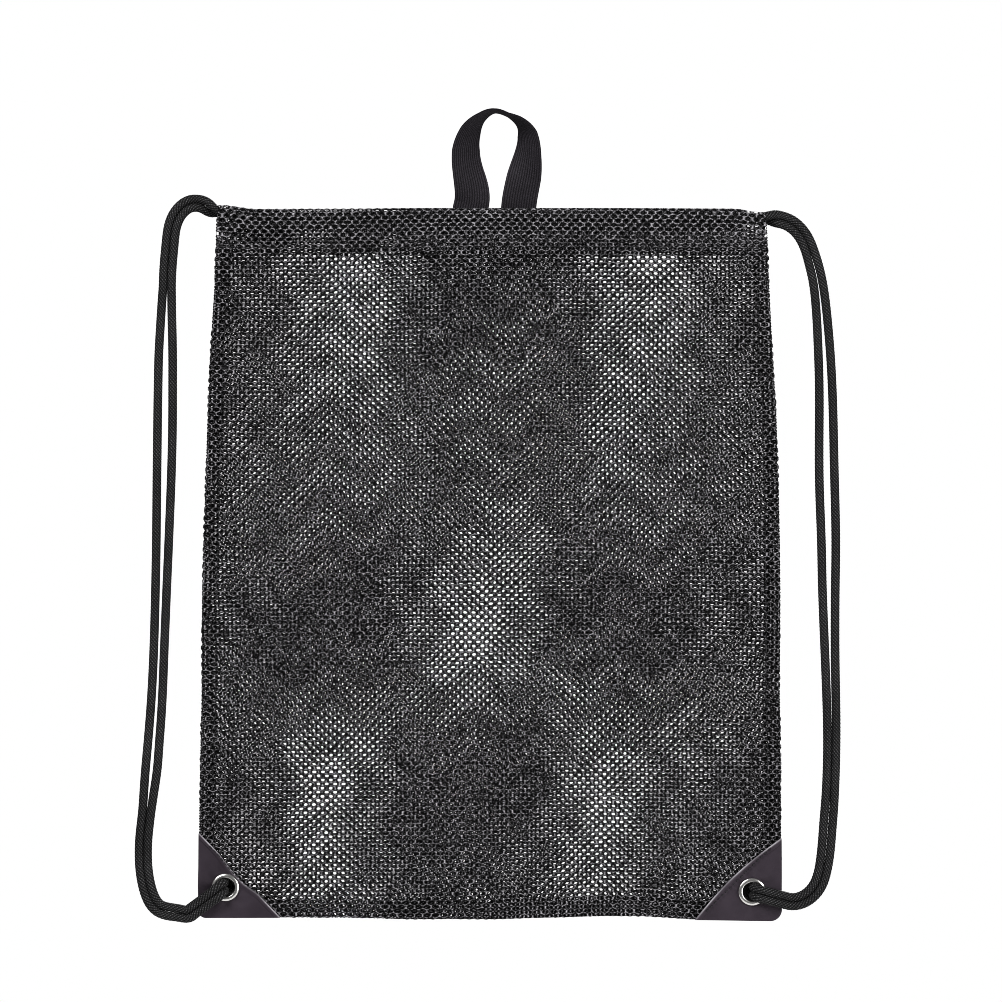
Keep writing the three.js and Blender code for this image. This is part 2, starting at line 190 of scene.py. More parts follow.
def tube_quads(grid):
    """Faces between rings of points. grid holds point numbers: rings, then places round each ring."""
    nxt = np.roll(grid, -1, axis=-1)
    near, far = slice(None, -1), slice(1, None)
    corners = [grid[..., near, :], nxt[..., near, :], nxt[..., far, :], grid[..., far, :]]
    return np.stack(corners, axis=-1).reshape(-1, 4)


def finish_piece(made, material, replaced=()):
    """Gives a piece its material, and hides the CAD nodes it stands for."""
    made.data.materials.append(material)
    if replaced:
        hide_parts(*replaced)
    return made


def blend_with(made):
    """Bakes a piece's transform into its mesh."""
    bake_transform(made)


# ---- Materials ----


class Nodes:
    """A short way to write a procedural material."""

    def __init__(self, name):
        self.material = bpy.data.materials.new(name)
        self.material.use_nodes = True
        self.tree = self.material.node_tree
        self.shader = self.tree.nodes["Principled BSDF"]

    def add(self, kind, settings=None, **inputs):
        node = self.tree.nodes.new("ShaderNode" + kind)
        for key, value in (settings or {}).items():
            setattr(node, key, value)
        for key, value in inputs.items():
            self.put(node.inputs[int(key[1:]) if key[1:].isdigit() else key.replace("_", " ")], value)
        return node

    def put(self, socket, value):
        if isinstance(value, bpy.types.NodeSocket):
            self.tree.links.new(value, socket)
        else:
            socket.default_value = value

    def math(self, operation, a, b=0.0):
        return self.add("Math", {"operation": operation}, i0=a, i1=b).outputs[0]

    def mix(self, factor, a, b):
        node = self.add("Mix", {"data_type": "RGBA"})
        self.put(node.inputs[0], factor)
        self.put(node.inputs[6], a)
        self.put(node.inputs[7], b)
        return node.outputs[2]

    def noise(self, scale, detail=3.0, stretch=None):
        place = self.add("TexCoord").outputs["Object"]
        if stretch:
            place = self.add("Mapping", Vector=place, Scale=stretch).outputs[0]
        return self.add("TexNoise", Vector=place, Scale=scale, Detail=detail).outputs["Fac"]

    # The weight of the highlight painted into a material's colour, read from each mesh
    def painted_highlight(self):
        return self.add("Attribute", {"attribute_name": "painted_highlight"}).outputs["Fac"]

    def bump(self, height, strength, distance):
        return self.add("Bump", Height=height, Strength=strength, Distance=distance).outputs[0]

    def set(self, **inputs):
        for key, value in inputs.items():
            self.put(self.shader.inputs[key.replace("_", " ")], value)
        return self.material


def yarn_material(name, groove, crest, grain, glints, contrast, shine=0.12):
    """Dark polyester yarn with light and shade painted into its colour: painted shade, near-black, in the
    grooves where yarns cross under, and painted highlights, pale glints, on the crests; the fibres are a
    bump. groove is the painted shade colour and crest the painted highlight colour. glints, from 0 to 1, is
    how far the painted glints break up."""
    n = Nodes(name)
    slow = n.math("MULTIPLY_ADD", n.noise(35, 2), 0.9)
    slow.node.inputs[2].default_value = 0.55
    fibre = n.noise(grain, 2)
    # Painted glints: pale specks thresholded from the fibre noise and painted into the base colour
    glint = n.add("MapRange", Value=fibre, i1=0.42, i2=0.62).outputs[0]
    broken = n.math("MULTIPLY_ADD", glint, glints)
    broken.node.inputs[2].default_value = 1 - glints
    painted_crest_weight = n.math("POWER", n.painted_highlight(), contrast)
    lit = n.math("MULTIPLY", n.math("MULTIPLY", painted_crest_weight, broken), slow)
    # Painted light: from near-black painted shade in the grooves to the pale painted highlight on the crests
    colour = n.mix(lit, (*groove, 1), (*crest, 1))
    return n.set(Base_Color=colour, Roughness=0.5, Specular_IOR_Level=shine, Sheen_Weight=0.02,
                 Sheen_Roughness=0.4, Normal=n.bump(fibre, 0.6, 0.0005))


BLACK = (0.001, 0.001, 0.0012)
# Each crest colour is a painted highlight, and each groove colour a painted shade over the yarn's own black
knit = yarn_material("knitted_mesh", BLACK, (0.57, 0.556, 0.584), 750, 0.95, 1.8)
cord = yarn_material("braided_cord", BLACK, (0.9, 0.89, 0.91), 1500, 0.4, 6.5)
webbing = yarn_material("ribbed_webbing", (0.011, 0.0098, 0.0117), (0.11, 0.1, 0.116), 1800, 0.5, 1.5)
thread = yarn_material("sewing_thread", BLACK, (0.09, 0.09, 0.095), 2500, 0.3, 1.0)


def coated_material():
    n = Nodes("coated_fabric")
    place = n.add("TexCoord").outputs["Object"]
    weave = n.add("TexVoronoi", Vector=place, Scale=1500).outputs["Distance"]
    wear = n.noise(55, 5)
    colour = n.mix(wear, (0.036, 0.0285, 0.0365, 1), (0.1, 0.082, 0.1015, 1))
    # Painted highlight along each patch's folded hem edge
    colour = n.mix(n.painted_highlight(), colour, (0.55, 0.53, 0.56, 1))
    rough = n.math("MULTIPLY_ADD", wear, 0.3)
    rough.node.inputs[2].default_value = 0.42
    return n.set(Base_Color=colour, Roughness=rough, Specular_IOR_Level=0.22,
                 Normal=n.bump(weave, 0.3, 0.0002))


def nickel_material():
    n = Nodes("nickel")
    scratch = n.noise(900, 5, (1, 1, 9))
    rough = n.math("MULTIPLY_ADD", scratch, 0.22)
    rough.node.inputs[2].default_value = 0.1
    return n.set(Base_Color=(0.9, 0.89, 0.87, 1), Metallic=1.0, Roughness=rough,
                 Normal=n.bump(scratch, 0.08, 0.0001))


coated = coated_material()
nickel = nickel_material()

# ---- Knitted panels with open holes ----

PITCH, ROW = 5.4, 2.67
TILE_SIDE = 0.89
HOLE = np.array([[1.52, 0], [0.74, 0.97], [-0.74, 0.97], [-1.52, 0], [-0.74, -0.97], [0.74, -0.97]])
YARN_LIFT = 0.42
OUTER_LAYER = 0.25
FOLD_RADIUS = 0.4
SIDE_ALLOWANCE = 9
BOTTOM_ALLOWANCE = 13
HEM_TAIL = 5
EYELET_CUTOUT = 9.2
CORNER_BOX, CORNER_CUT = 12, 9  # bottom-corner tiles outside this radius would show past the patches
CORD_PASSAGE = 12  # width of the gap in each casing's inner wall that lets a cord turn from front to back
CASING_PAINTED_HIGHLIGHT = 0.3  # the casing's yarn is drawn tight; its hole rims get this much of the painted highlight, so it is painted pale right up to its holes
CAMERA_DISTANCE = 2500
CAMERA_X, CAMERA_Z = 7.7, 269


def fabric_path():
    """The fabric's way up a panel as (length, height, depth, normal): from the turned-in bottom edge,
    round it, up the face, over the casing and down inside to the hem. On the face, length is height."""
    inner = OUTER_LAYER - 2 * FOLD_RADIUS
    deep = CASING_HALF_DEPTH - 0.65
    shoulder, crest = HEIGHT - 7, HEIGHT - 0.65
    points = [(z, inner) for z in np.linspace(BOTTOM_ALLOWANCE, FOLD_RADIUS, 16)]
    for a in np.linspace(0, math.pi, 9)[1:-1]:
        points.append((FOLD_RADIUS - FOLD_RADIUS * math.sin(a),
                       inner + FOLD_RADIUS * (1 - math.cos(a))))
    face_start = len(points)
    points += [(z, OUTER_LAYER) for z in np.linspace(FOLD_RADIUS, STITCH_Z, 80)]
    rise = np.linspace(0, 1, 14)[1:]
    swell = [(STITCH_Z + 8 * t, float(ramp(t, 0, 1))) for t in rise]
    points += [(z, OUTER_LAYER + (deep - OUTER_LAYER) * s) for z, s in swell]
    points += [(z, deep) for z in np.linspace(STITCH_Z + 8, shoulder, 10)[1:]]
    for a in np.linspace(0, math.pi, 25)[1:-1]:
        points.append((shoulder + (crest - shoulder) * math.sin(a), deep * math.cos(a)))
    points += [(z, -deep) for z in np.linspace(shoulder, STITCH_Z + 8, 10)]
    points += [(z, inner + (-deep - inner) * s) for z, s in swell[-2::-1]]
    points += [(z, inner) for z in np.linspace(STITCH_Z, STITCH_Z - HEM_TAIL, 6)]
    path = np.array(points)
    length = np.concatenate([[0], np.cumsum(np.linalg.norm(np.diff(path, axis=0), axis=1))])
    length += path[face_start, 0] - length[face_start]
    along = np.gradient(path, length, axis=0)
    along /= np.linalg.norm(along, axis=1)[:, None]
    return length, path[:, 0], path[:, 1], np.stack([-along[:, 1], along[:, 0]], axis=1)


PATH = fabric_path()
CREST_V = PATH[0][np.argmax(PATH[1])]


def place_fabric(s, v, lift, face):
    """Points of a panel from fabric coordinates: s across, v along fabric_path, and lift off the
    fabric's middle."""
    length, height, depth, normal = PATH
    z = np.interp(v, length, height)
    d = np.interp(v, length, depth)
    nz = np.interp(v, length, normal[:, 0])
    nd = np.interp(v, length, normal[:, 1])
    edge = half_width(np.clip(z, 0, HEIGHT))
    side, reach = np.sign(s), np.abs(s)
    over = reach - edge - (math.pi / 2 - 1) * FOLD_RADIUS
    turn = np.clip(over / FOLD_RADIUS + math.pi / 2, 0, math.pi)
    x = np.where(turn <= 0, reach, edge - FOLD_RADIUS + FOLD_RADIUS * np.sin(turn))
    x = np.where(turn >= math.pi, edge - FOLD_RADIUS - (over - math.pi * FOLD_RADIUS / 2), x)
    off = -FOLD_RADIUS * (1 - np.cos(turn)) + lift * np.cos(turn)
    x = side * (x + lift * np.sin(turn))
    z = z + nz * off
    y = standoff(x, z) + d + nd * off + ripple(x, z)
    lean, rise = lie(x, z)
    return np.stack([x + lean, face * y, z + rise], axis=1)


def layer_drift(x, z):
    """How far the back panel's knit lies off the front's, across and up. The two knits are turned a
    little against each other, so their holes line up in five places and block each other between them.
    p and q count half tiles and rows: holes line up where both are even or both are odd."""
    t = z - 198
    p = -t * (0.00751 - 1.184e-5 * t) * (1 - 0.2 * ramp(z, 260, 345))
    p -= 0.5 * ramp(-t, 105, 195)
    middle = np.interp(z, [85, 198, 388], [-20, -3, 3])
    apart = np.interp(z, [85, 198, 388], [88, 92, 95])
    q = (x - middle) / apart
    q -= 0.4 * np.sign(q) * ramp(np.abs(q), 1.3, 2) * (1 - ramp(z, 405, 430))
    p, q = (
        p + 0.09 * np.sin(math.pi * p) * np.cos(math.pi * q),
        q + 0.09 * np.cos(math.pi * p) * np.sin(math.pi * q),
    )
    across = p * PITCH / 2 + 0.18 * np.sin(x / 19 + 1.2 * np.sin(z / 43)) + 0.12 * np.sin(z / 17 - x / 41)
    up = q * ROW + 0.18 * np.sin(z / 23 + 1.1 * np.sin(x / 37)) + 0.12 * np.sin(x / 15 + z / 39)
    uneven = 0.38 * np.sin(z / 4.6 + 1.9 * np.sin(x / 7.3)), 0.32 * np.sin(x / 5.2 + 1.7 * np.sin(z / 8.1))
    return across + uneven[0], up + uneven[1]


def lattice_to_fabric(s, v, face):
    """Where a lattice point lies on its panel. The back panel's lattice drifts against the front's, as
    seen square on from the front."""
    warp_s = 0.5 * np.sin(v / 83 + 0.4) + 0.35 * np.sin(v / 37 + s / 61)
    warp_v = 0.9 * np.sin(s / 74 + 0.9) + 0.3 * np.sin(s / 29 - v / 97)
    s, v = s + warp_s, v + warp_v
    if face > 0:
        z = np.clip(v, 0, HEIGHT)
        gap = standoff(np.clip(s, -170, 170), z)
        k = (CAMERA_DISTANCE + gap) / (CAMERA_DISTANCE - gap)
        across, up = layer_drift(s, z)
        s = CAMERA_X + (s - CAMERA_X) * k + across
        v = CAMERA_Z + (v - CAMERA_Z) * k + up
    return s, v


def knitted_panel(panel, face):
    """One panel, as a left and a right half: a tiling of six-sided tiles, each with a six-sided hole.
    The yarn is a lens, thick along the tiles' shared edges and thin at the holes."""
    length = PATH[0]
    first, last = math.floor(length[0] / ROW) - 2, math.ceil(length[-1] / ROW) + 2
    rows = np.arange(first, last + 1)
    reach = math.ceil((HALF_BOTTOM + SIDE_ALLOWANCE) / (PITCH / 2)) + 3
    columns = np.arange(-reach, reach + 1)
    j, k = np.meshgrid(rows, columns, indexing="ij")
    j, k = j.ravel(), k.ravel()
    keep = (j + k) % 2 == 0
    j, k = j[keep], k[keep]
    cs, cv = lattice_to_fabric(k * PITCH / 2, j * ROW, face)
    centre = place_fabric(cs, cv, 0, face)
    edge = half_width(np.clip(centre[:, 2], 0, HEIGHT))
    inside = (np.abs(cs) < edge + SIDE_ALLOWANCE) & (cv > length[0] + 1) & (cv < length[-1] - 1)
    inside &= ~((np.abs(cs) > edge - 2) & (cv < 2))
    casing = cv > STITCH_Z + 2
    inside &= ~(casing & (np.abs(cs) > edge + 1.6))
    inner_wall = (cv > CREST_V) & (centre[:, 2] > STITCH_Z + 5)
    inside &= ~(inner_wall & (np.abs(cs) > edge - CORD_PASSAGE))
    in_x, in_z = HALF_BOTTOM - CORNER_BOX - np.abs(centre[:, 0]), CORNER_BOX - centre[:, 2]
    inside &= ~((in_x < 0) & (in_z > 0) & (np.hypot(in_x, in_z) > CORNER_CUT))
    for hole in (centre_mm("left_eyelet"), centre_mm("right_eyelet")):
        inside &= np.hypot(centre[:, 0] - hole[0], centre[:, 2] - hole[2]) > EYELET_CUTOUT
    j, k = j[inside], k[inside]
    # Tile corners, counter-clockwise from the upper right; even keys are a tile's lower tip
    corner_k = np.stack([k + 1, k, k - 1, k - 1, k, k + 1], axis=1)
    corner_j = np.stack([2 * j + 2, 2 * j + 1, 2 * j + 2, 2 * j - 1, 2 * j, 2 * j - 1], axis=1)
    key = corner_k * 100000 + corner_j
    keys, index, uses = np.unique(key, return_inverse=True, return_counts=True)
    index = index.reshape(key.shape)
    key_k = np.round(keys / 100000).astype(int)
    key_j = keys - key_k * 100000
    tip = ROW - TILE_SIDE
    level = np.floor_divide(key_j, 2) * ROW + np.where(key_j % 2 == 1, tip, -tip)
    s, v = lattice_to_fabric(key_k * PITCH / 2, level, face)
    lift = np.where(uses >= 3, YARN_LIFT, 0.0)
    front = place_fabric(s, v, lift, face)
    back = place_fabric(s, v, -lift, face)
    wobble = 1 + 0.12 * np.sin(j * 12.9898 + k * 78.233)[:, None]
    hole_s = (k * PITCH / 2)[:, None] + HOLE[:, 0] * wobble
    hole_v = (j * ROW)[:, None] + HOLE[:, 1] * (2 - wobble)
    hs, hv = lattice_to_fabric(hole_s.ravel(), hole_v.ravel(), face)
    rim = place_fabric(hs, hv, 0, face)
    n_corner = len(keys)
    rim_index = 2 * n_corner + np.arange(len(j) * 6).reshape(-1, 6)
    outer, inner = index, rim_index
    triangles = []
    for i in range(6):
        nxt = (i + 1) % 6
        triangles.append(np.stack([inner[:, i], outer[:, i], inner[:, nxt]], axis=1))
        triangles.append(np.stack([outer[:, i], outer[:, nxt], inner[:, nxt]], axis=1))
    top = np.concatenate(triangles)
    bottom = np.where(top < n_corner, top + n_corner, top)[:, ::-1]
    faces = np.concatenate([top, bottom])
    if face < 0:
        faces = faces[:, ::-1]
    points = np.concatenate([front, back, rim])
    taut = np.repeat(cv[inside] > STITCH_Z, 6)
    # Tile corners, the yarn's ridges, get the full painted highlight; hole rims get none, or a little in the
    # casing
    painted_highlight = np.concatenate([np.ones(2 * n_corner), CASING_PAINTED_HIGHLIGHT * taut])
    on_left = np.tile(k <= 0, 24)
    for side, half in (("left", faces[on_left]), ("right", faces[~on_left])):
        used, index = np.unique(half, return_inverse=True)
        made = make_object(f"{panel}_{side}", points[used], [index.reshape(half.shape)], painted_highlight[used])
        finish_piece(made, knit, [panel])
        blend_with(made)


knitted_panel("front_panel", -1)
knitted_panel("back_panel", 1)

# ---- Cords ----

CORD_RADIUS = 2.95
CASING_CORD_RADIUS = 2.58  # two cords share each casing, one above the other
NESTING = 0.5  # how far two braids side by side sink into each other's grooves
BRAID_HEIGHT = 0.6
BRAID_STRANDS = 8
BRAID_LAY = 19.0
RING = 48
RING_STEP = 0.4
# How much painted highlight a cord's flat cut end faces get
CUT_END_PAINTED_HIGHLIGHT = 0.3


def cad_mesh(node):
    """Points, in millimetres, and triangles of a CAD node, with points at the same place joined."""
    mesh = frame["nodes"][node].data
    points = np.array([v.co for v in mesh.vertices]) / MM
    unique, index = np.unique(np.round(points, 3), axis=0, return_inverse=True)
    return unique, index.ravel()[np.array([p.vertices[:] for p in mesh.polygons])]


def end_ring(points, faces):
    """The corners of one end face of a swept CAD cord: flat, six-sided and round."""
    a, b, c = (points[faces[:, i]] for i in range(3))
    normal = np.cross(b - a, c - a)
    normal /= np.linalg.norm(normal, axis=1)[:, None]
    level = np.einsum("ij,ij->i", normal, a)
    for i in range(len(faces)):
        in_plane = np.abs(points[faces[:, 0]] @ normal[i] - level[i]) < 0.02
        mates = (normal @ normal[i] > 0.9999) & in_plane
        ring = np.unique(faces[mates])
        if mates.sum() == 4 and len(ring) == 6:
            radii = np.linalg.norm(points[ring] - points[ring].mean(0), axis=1)
            if np.ptp(radii) < 0.02:
                return set(ring.tolist())
    raise ValueError("no end face found")


def rings_from(layer, points, faces):
    """A swept CAD mesh's rings of points, walked from the ring whose point numbers are in layer."""
    near = [set() for _ in points]
    for face in faces:
        for i in face:
            near[i].update(face.tolist())
    seen, rings = set(), []
    while layer:
        rings.append(points[sorted(layer)])
        seen |= layer
        layer = set().union(*(near[i] for i in layer)) - seen
    return rings


def centre_line(node):
    """Middle points of a swept CAD cord's rings, from one end to the other."""
    points, faces = cad_mesh(node)
    return np.array([ring.mean(0) for ring in rings_from(end_ring(points, faces), points, faces)])


def joined_line(nodes):
    """One line through several CAD cords that follow each other, and the first point's index of each."""
    lines = [centre_line(n) for n in nodes]

    def gap(p, line):
        return min(np.linalg.norm(p - line[0]), np.linalg.norm(p - line[-1]))

    if gap(lines[0][0], lines[1]) < gap(lines[0][-1], lines[1]):
        lines[0] = lines[0][::-1]
    for i in range(1, len(lines)):
        end = lines[i - 1][-1]
        if np.linalg.norm(end - lines[i][0]) > np.linalg.norm(end - lines[i][-1]):
            lines[i] = lines[i][::-1]
    kept, part = [lines[0][0]], [0]
    for i, line in enumerate(lines):
        for p in line:
            if np.linalg.norm(p - kept[-1]) > 1.2:
                kept.append(p)
                part.append(i)
    return np.array(kept), np.array(part)


def spline(points, step):
    """Natural cubic spline through points, sampled evenly. Returns the samples and, for each, its
    place in the list of points."""
    chord = np.concatenate([[0], np.cumsum(np.linalg.norm(np.diff(points, axis=0), axis=1))])
    n, h = len(points), np.diff(chord)
    system, right = np.eye(n), np.zeros((n, 3))
    for i in range(1, n - 1):
        system[i, i - 1:i + 2] = h[i - 1], 2 * (h[i - 1] + h[i]), h[i]
        right[i] = 6 * ((points[i + 1] - points[i]) / h[i] - (points[i] - points[i - 1]) / h[i - 1])
    bend = np.linalg.solve(system, right)
    t = np.linspace(0, chord[-1], max(2, round(chord[-1] / step) + 1))
    i = np.clip(np.searchsorted(chord, t, side="right") - 1, 0, n - 2)
    a, b = chord[i + 1] - t, t - chord[i]
    hi = h[i][:, None]
    a, b = a[:, None], b[:, None]
    placed = (
        bend[i] * a ** 3 / (6 * hi) + bend[i + 1] * b ** 3 / (6 * hi)
        + (points[i] / hi - bend[i] * hi / 6) * a
        + (points[i + 1] / hi - bend[i + 1] * hi / 6) * b
    )
    return placed, np.interp(t, chord, np.arange(n))


def frames_along(line):
    """Tangents and two sideways directions along a line, turning as little as possible."""
    tangent = np.gradient(line, axis=0)
    tangent /= np.linalg.norm(tangent, axis=1)[:, None]
    side = np.zeros_like(line)
    start = np.array([0.0, 0, 1]) if abs(tangent[0, 2]) < 0.9 else np.array([0.0, 1, 0])
    side[0] = np.cross(tangent[0], start)
    side[0] /= np.linalg.norm(side[0])
    for i in range(1, len(line)):
        v = side[i - 1] - tangent[i] * (side[i - 1] @ tangent[i])
        side[i] = v / np.linalg.norm(v)
    return tangent, side, np.cross(tangent, side)


def braid_relief(angle, length):
    """Height, from 0 to 1, of a round diamond braid: two sets of strands wound opposite ways."""
    a = BRAID_STRANDS * angle / (2 * math.pi) + BRAID_STRANDS * length / BRAID_LAY
    b = BRAID_STRANDS * angle / (2 * math.pi) - BRAID_STRANDS * length / BRAID_LAY
    round_a = np.sqrt(1 - (2 * (a % 1) - 1) ** 2 * 0.96)
    round_b = np.sqrt(1 - (2 * (b % 1) - 1) ** 2 * 0.96)
    over = np.cos(math.pi * (a + b)) * np.cos(math.pi * (a - b))
    return np.maximum(round_a * (0.7 + 0.3 * over), round_b * (0.55 - 0.35 * over))


def cord_tube(name, line, start_length, radius):
    """A braided cord along a line, with closed ends. Returns the object, its points and each point's
    index along the line. radius is one value, or one for each point of the line."""
    _, u, w = frames_along(line)
    length = start_length + RING_STEP * np.arange(len(line))
    angle = 2 * math.pi * np.arange(RING) / RING
    relief = braid_relief(angle[None, :], length[:, None])
    r = np.broadcast_to(radius, len(line))[:, None] - BRAID_HEIGHT + BRAID_HEIGHT * relief
    points = (
        line[:, None, :]
        + (r * np.cos(angle))[..., None] * u[:, None, :]
        + (r * np.sin(angle))[..., None] * w[:, None, :]
    ).reshape(-1, 3)
    n = len(line)
    grid = np.arange(n * RING).reshape(n, RING)
    nxt = np.roll(grid, -1, axis=1)
    points = np.concatenate([points, line[:1], line[-1:]])
    first = np.stack([nxt[0], grid[0], np.full(RING, n * RING)], axis=1)
    last = np.stack([grid[-1], nxt[-1], np.full(RING, n * RING + 1)], axis=1)
    # The braid's relief weights the highlight painted on its crests, with painted shade in its grooves
    painted_highlight = np.concatenate([relief.ravel(), [CUT_END_PAINTED_HIGHLIGHT, CUT_END_PAINTED_HIGHLIGHT]])
    along = np.concatenate([np.repeat(np.arange(n), RING), [0, n - 1]])
    faces = [tube_quads(grid), np.concatenate([first, last])]
    return make_object(name, points, faces, painted_highlight), points, along


STRAND_HEIGHTS = [30, 58, 96, 135, 173, 211, 250, 365, 404, 442, 458]
STRAND_LIE = {
    ("left", "outer"): [0, 1.0, 0, 0, 0, 0, 0, 0, 1.0, 2.2, 0.4],
    ("left", "inner"): [0, 0.2, 2.3, 1.8, 1.1, 0.9, 0.8, 1.1, 0.0, -2.4, 0.0],
    ("right", "outer"): [0, -1.2, -1.3, -1.3, -1.3, -1.3, -0.6, 0.8, 0.5, 0.0, 0.0],
    ("right", "inner"): [0, -1.8, -1.3, -1.3, -1.1, -1.1, -0.3, -0.3, 0.0, 0.0, 0.0],
}
EXIT_RISE = {"left": 4.0, "right": 4.2}
EXIT_FADE = {"left": (173, 186), "right": (178, 191)}


def cord_lie(points, part, side):
    """How far the soft cords lie off the CAD's: they leave at the top of the casing corners, above the
    channel's middle, and the two strands part and touch unevenly on their way down."""
    sign = 1 if side == "right" else -1
    x, z = sign * points[:, 0], points[:, 2]
    up = EXIT_RISE[side] * ramp(x, 148, 170) * (1 - ramp(x, *EXIT_FADE[side])) * (z > 430)
    across = np.zeros(len(points))
    for strand, number in (("outer", 1), ("inner", 5)):
        across += (part == number) * np.interp(z, STRAND_HEIGHTS, STRAND_LIE[side, strand])
    return np.stack([across, np.zeros(len(points)), up], axis=1)


def strands_apart(line, first, second):
    """Moves a strap's two strands away from each other until only the crests of their braids nest in
    each other's grooves. first and second say which points of the line belong to each."""
    line = line.copy()
    ends = ramp(np.minimum(np.arange(len(line)), np.arange(len(line))[::-1]) * RING_STEP, 6, 20)
    window = np.hanning(25)
    for _ in range(6):
        push = np.zeros_like(line)
        for here, there in ((first, second), (second, first)):
            away = line[here][:, None] - line[there][None]
            distance = np.linalg.norm(away, axis=2)
            nearest = np.argmin(distance, axis=1)
            rows = np.arange(len(nearest))
            gap = distance[rows, nearest]
            short = np.clip(2 * CORD_RADIUS - NESTING - gap, 0, None) / 2
            push[here] = away[rows, nearest] / gap[:, None] * short[:, None]
        push = np.stack([np.convolve(push[:, i], window / window.sum(), "same") for i in range(3)], axis=1)
        line += push * ends[:, None]
    return line


def whole_cord(side):
    """One cord from knot to knot. It is cut where it changes what it moves with: two shoulder strands
    with their tails and stubs, and the parts in the left and the right half of the casings."""
    nodes = [side + end for end in (
        "_cord_outer_tail", "_strap_outer_strand", "_cord_front_run", "_cord_bend", "_cord_back_run",
        "_strap_inner_strand", "_cord_inner_tail")]
    points, part = joined_line(nodes)
    sign = 1 if side == "right" else -1
    points = points + cord_lie(points, part, side)
    line, place = spline(points, RING_STEP)
    which = part[np.clip(np.round(place).astype(int), 0, len(part) - 1)]
    pivot = joint_mm(side + "_strap_swing")
    stub_x = abs(pivot[0]) - 6
    mouth_x = half_width(HEIGHT)
    free = np.isin(which, [0, 1, 5, 6]) | (line[:, 0] * sign > mouth_x)
    first = np.arange(len(line)) < len(line) / 2
    line = strands_apart(line, np.flatnonzero(free & first), np.flatnonzero(free & ~first))
    in_casing = (1 - ramp(np.abs(line[:, 0]), mouth_x - 4, mouth_x + 6)) * (line[:, 2] > STITCH_Z)
    radius = CORD_RADIUS + (CASING_CORD_RADIUS - CORD_RADIUS) * in_casing

    x = line[:, 0] * sign
    stub = (x > stub_x) | np.isin(which, [0, 1, 5, 6])
    pieces = {
        "outer": np.flatnonzero(stub & (np.arange(len(line)) < len(line) / 2)),
        "inner": np.flatnonzero(stub & (np.arange(len(line)) >= len(line) / 2)),
        "far_casing": np.flatnonzero(~stub & (x < 0)),
    }
    near = np.flatnonzero(~stub & (x >= 0))
    pieces["front_casing"] = near[near < len(line) / 2]
    pieces["back_casing"] = near[near >= len(line) / 2]
    for key, index in pieces.items():
        index = np.arange(max(index[0] - 1, 0), min(index[-1] + 2, len(line)))
        run = line[index]
        name = f"{side}_cord_{key}"
        made, placed, along = cord_tube(name, run, RING_STEP * index[0], radius[index])
        if key in ("outer", "inner"):
            replaced = [f"{side}_strap_{key}_strand", f"{side}_cord_{key}_tail"]
            finish_piece(made, cord, replaced)
            blend_with(made)
        elif key == "far_casing":
            finish_piece(made, cord, [side + "_cord_bend"])
            blend_with(made)
        else:
            finish_piece(made, cord, [side + "_cord_" + key.replace("casing", "run")])
            blend_with(made)


whole_cord("left")
whole_cord("right")

# ---- Stopper knots behind the washers ----


def stopper_knot(side):
    """Both cord ends drawn together in one knot, with two short cut ends."""
    low, high = box_mm(side + "_cord_knot")
    middle = (low + high) / 2
    tube = 2.0
    ring = ((high[0] - low[0]) / 2 - tube) / 1.5
    t = np.linspace(0, 2 * math.pi, 400)
    swell = ring * (1 + 0.5 * np.cos(3 * t))
    line = np.stack([
        middle[0] + swell * np.cos(2 * t),
        middle[1] + 0.5 * ring * np.sin(3 * t),
        middle[2] + swell * np.sin(2 * t),
    ], axis=1)
    line, _ = spline(line, RING_STEP)
    made, _, _ = cord_tube(side + "_knot", line, 0, tube)
    finish_piece(made, cord, [side + "_cord_knot"])
    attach(made, "bag")
    for i, lean in enumerate((-1, 1)):
        start = middle + np.array([lean * 1.6, 0.4, 1.0])
        end = middle + np.array([lean * 6.4, 1.8, -9.5 - 2.5 * i])
        bow = middle + np.array([lean * 5.6, 2.4, -3.5])
        tail, _ = spline(np.array([start, bow, end]), RING_STEP)
        made, _, _ = cord_tube(f"{side}_knot_end_{i + 1}", tail, 0, 1.9)
        finish_piece(made, cord)
        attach(made, "bag")


for side in ("left", "right"):
    stopper_knot(side)

# ---- Eyelets and washers ----


def lathe(name, profile, centre, segments=96):
    """A ring turned about the line through centre along Y from a closed profile of (radius, y)."""
    profile = np.array(profile, float)
    n = len(profile)
    angle = 2 * math.pi * np.arange(segments) / segments
    points = np.stack([
        centre[0] + profile[None, :, 0] * np.cos(angle)[:, None],
        np.broadcast_to(profile[None, :, 1], (segments, n)),
        centre[2] + profile[None, :, 0] * np.sin(angle)[:, None],
    ], axis=-1).reshape(-1, 3)
    grid = np.arange(segments * n).reshape(segments, n)
    around, along = np.roll(grid, -1, axis=0), np.roll(grid, -1, axis=1)
    both = np.roll(around, -1, axis=1)
    quads = np.stack([grid, along, both, around], axis=-1).reshape(-1, 4)
    return make_object(name, points, [quads])


def rounded(corners, radius, steps=5):
    """A closed outline with every corner rounded."""
    corners = np.array(corners, float)
    out = []
    for i, p in enumerate(corners):
        before, after = corners[i - 1] - p, corners[(i + 1) % len(corners)] - p
        lb, la = np.linalg.norm(before), np.linalg.norm(after)
        r = min(radius, 0.45 * lb, 0.45 * la)
        a, b = p + before / lb * r, p + after / la * r
        for t in np.linspace(0, 1, steps):
            out.append((1 - t) ** 2 * a + 2 * t * (1 - t) * p + t ** 2 * b)
    return out


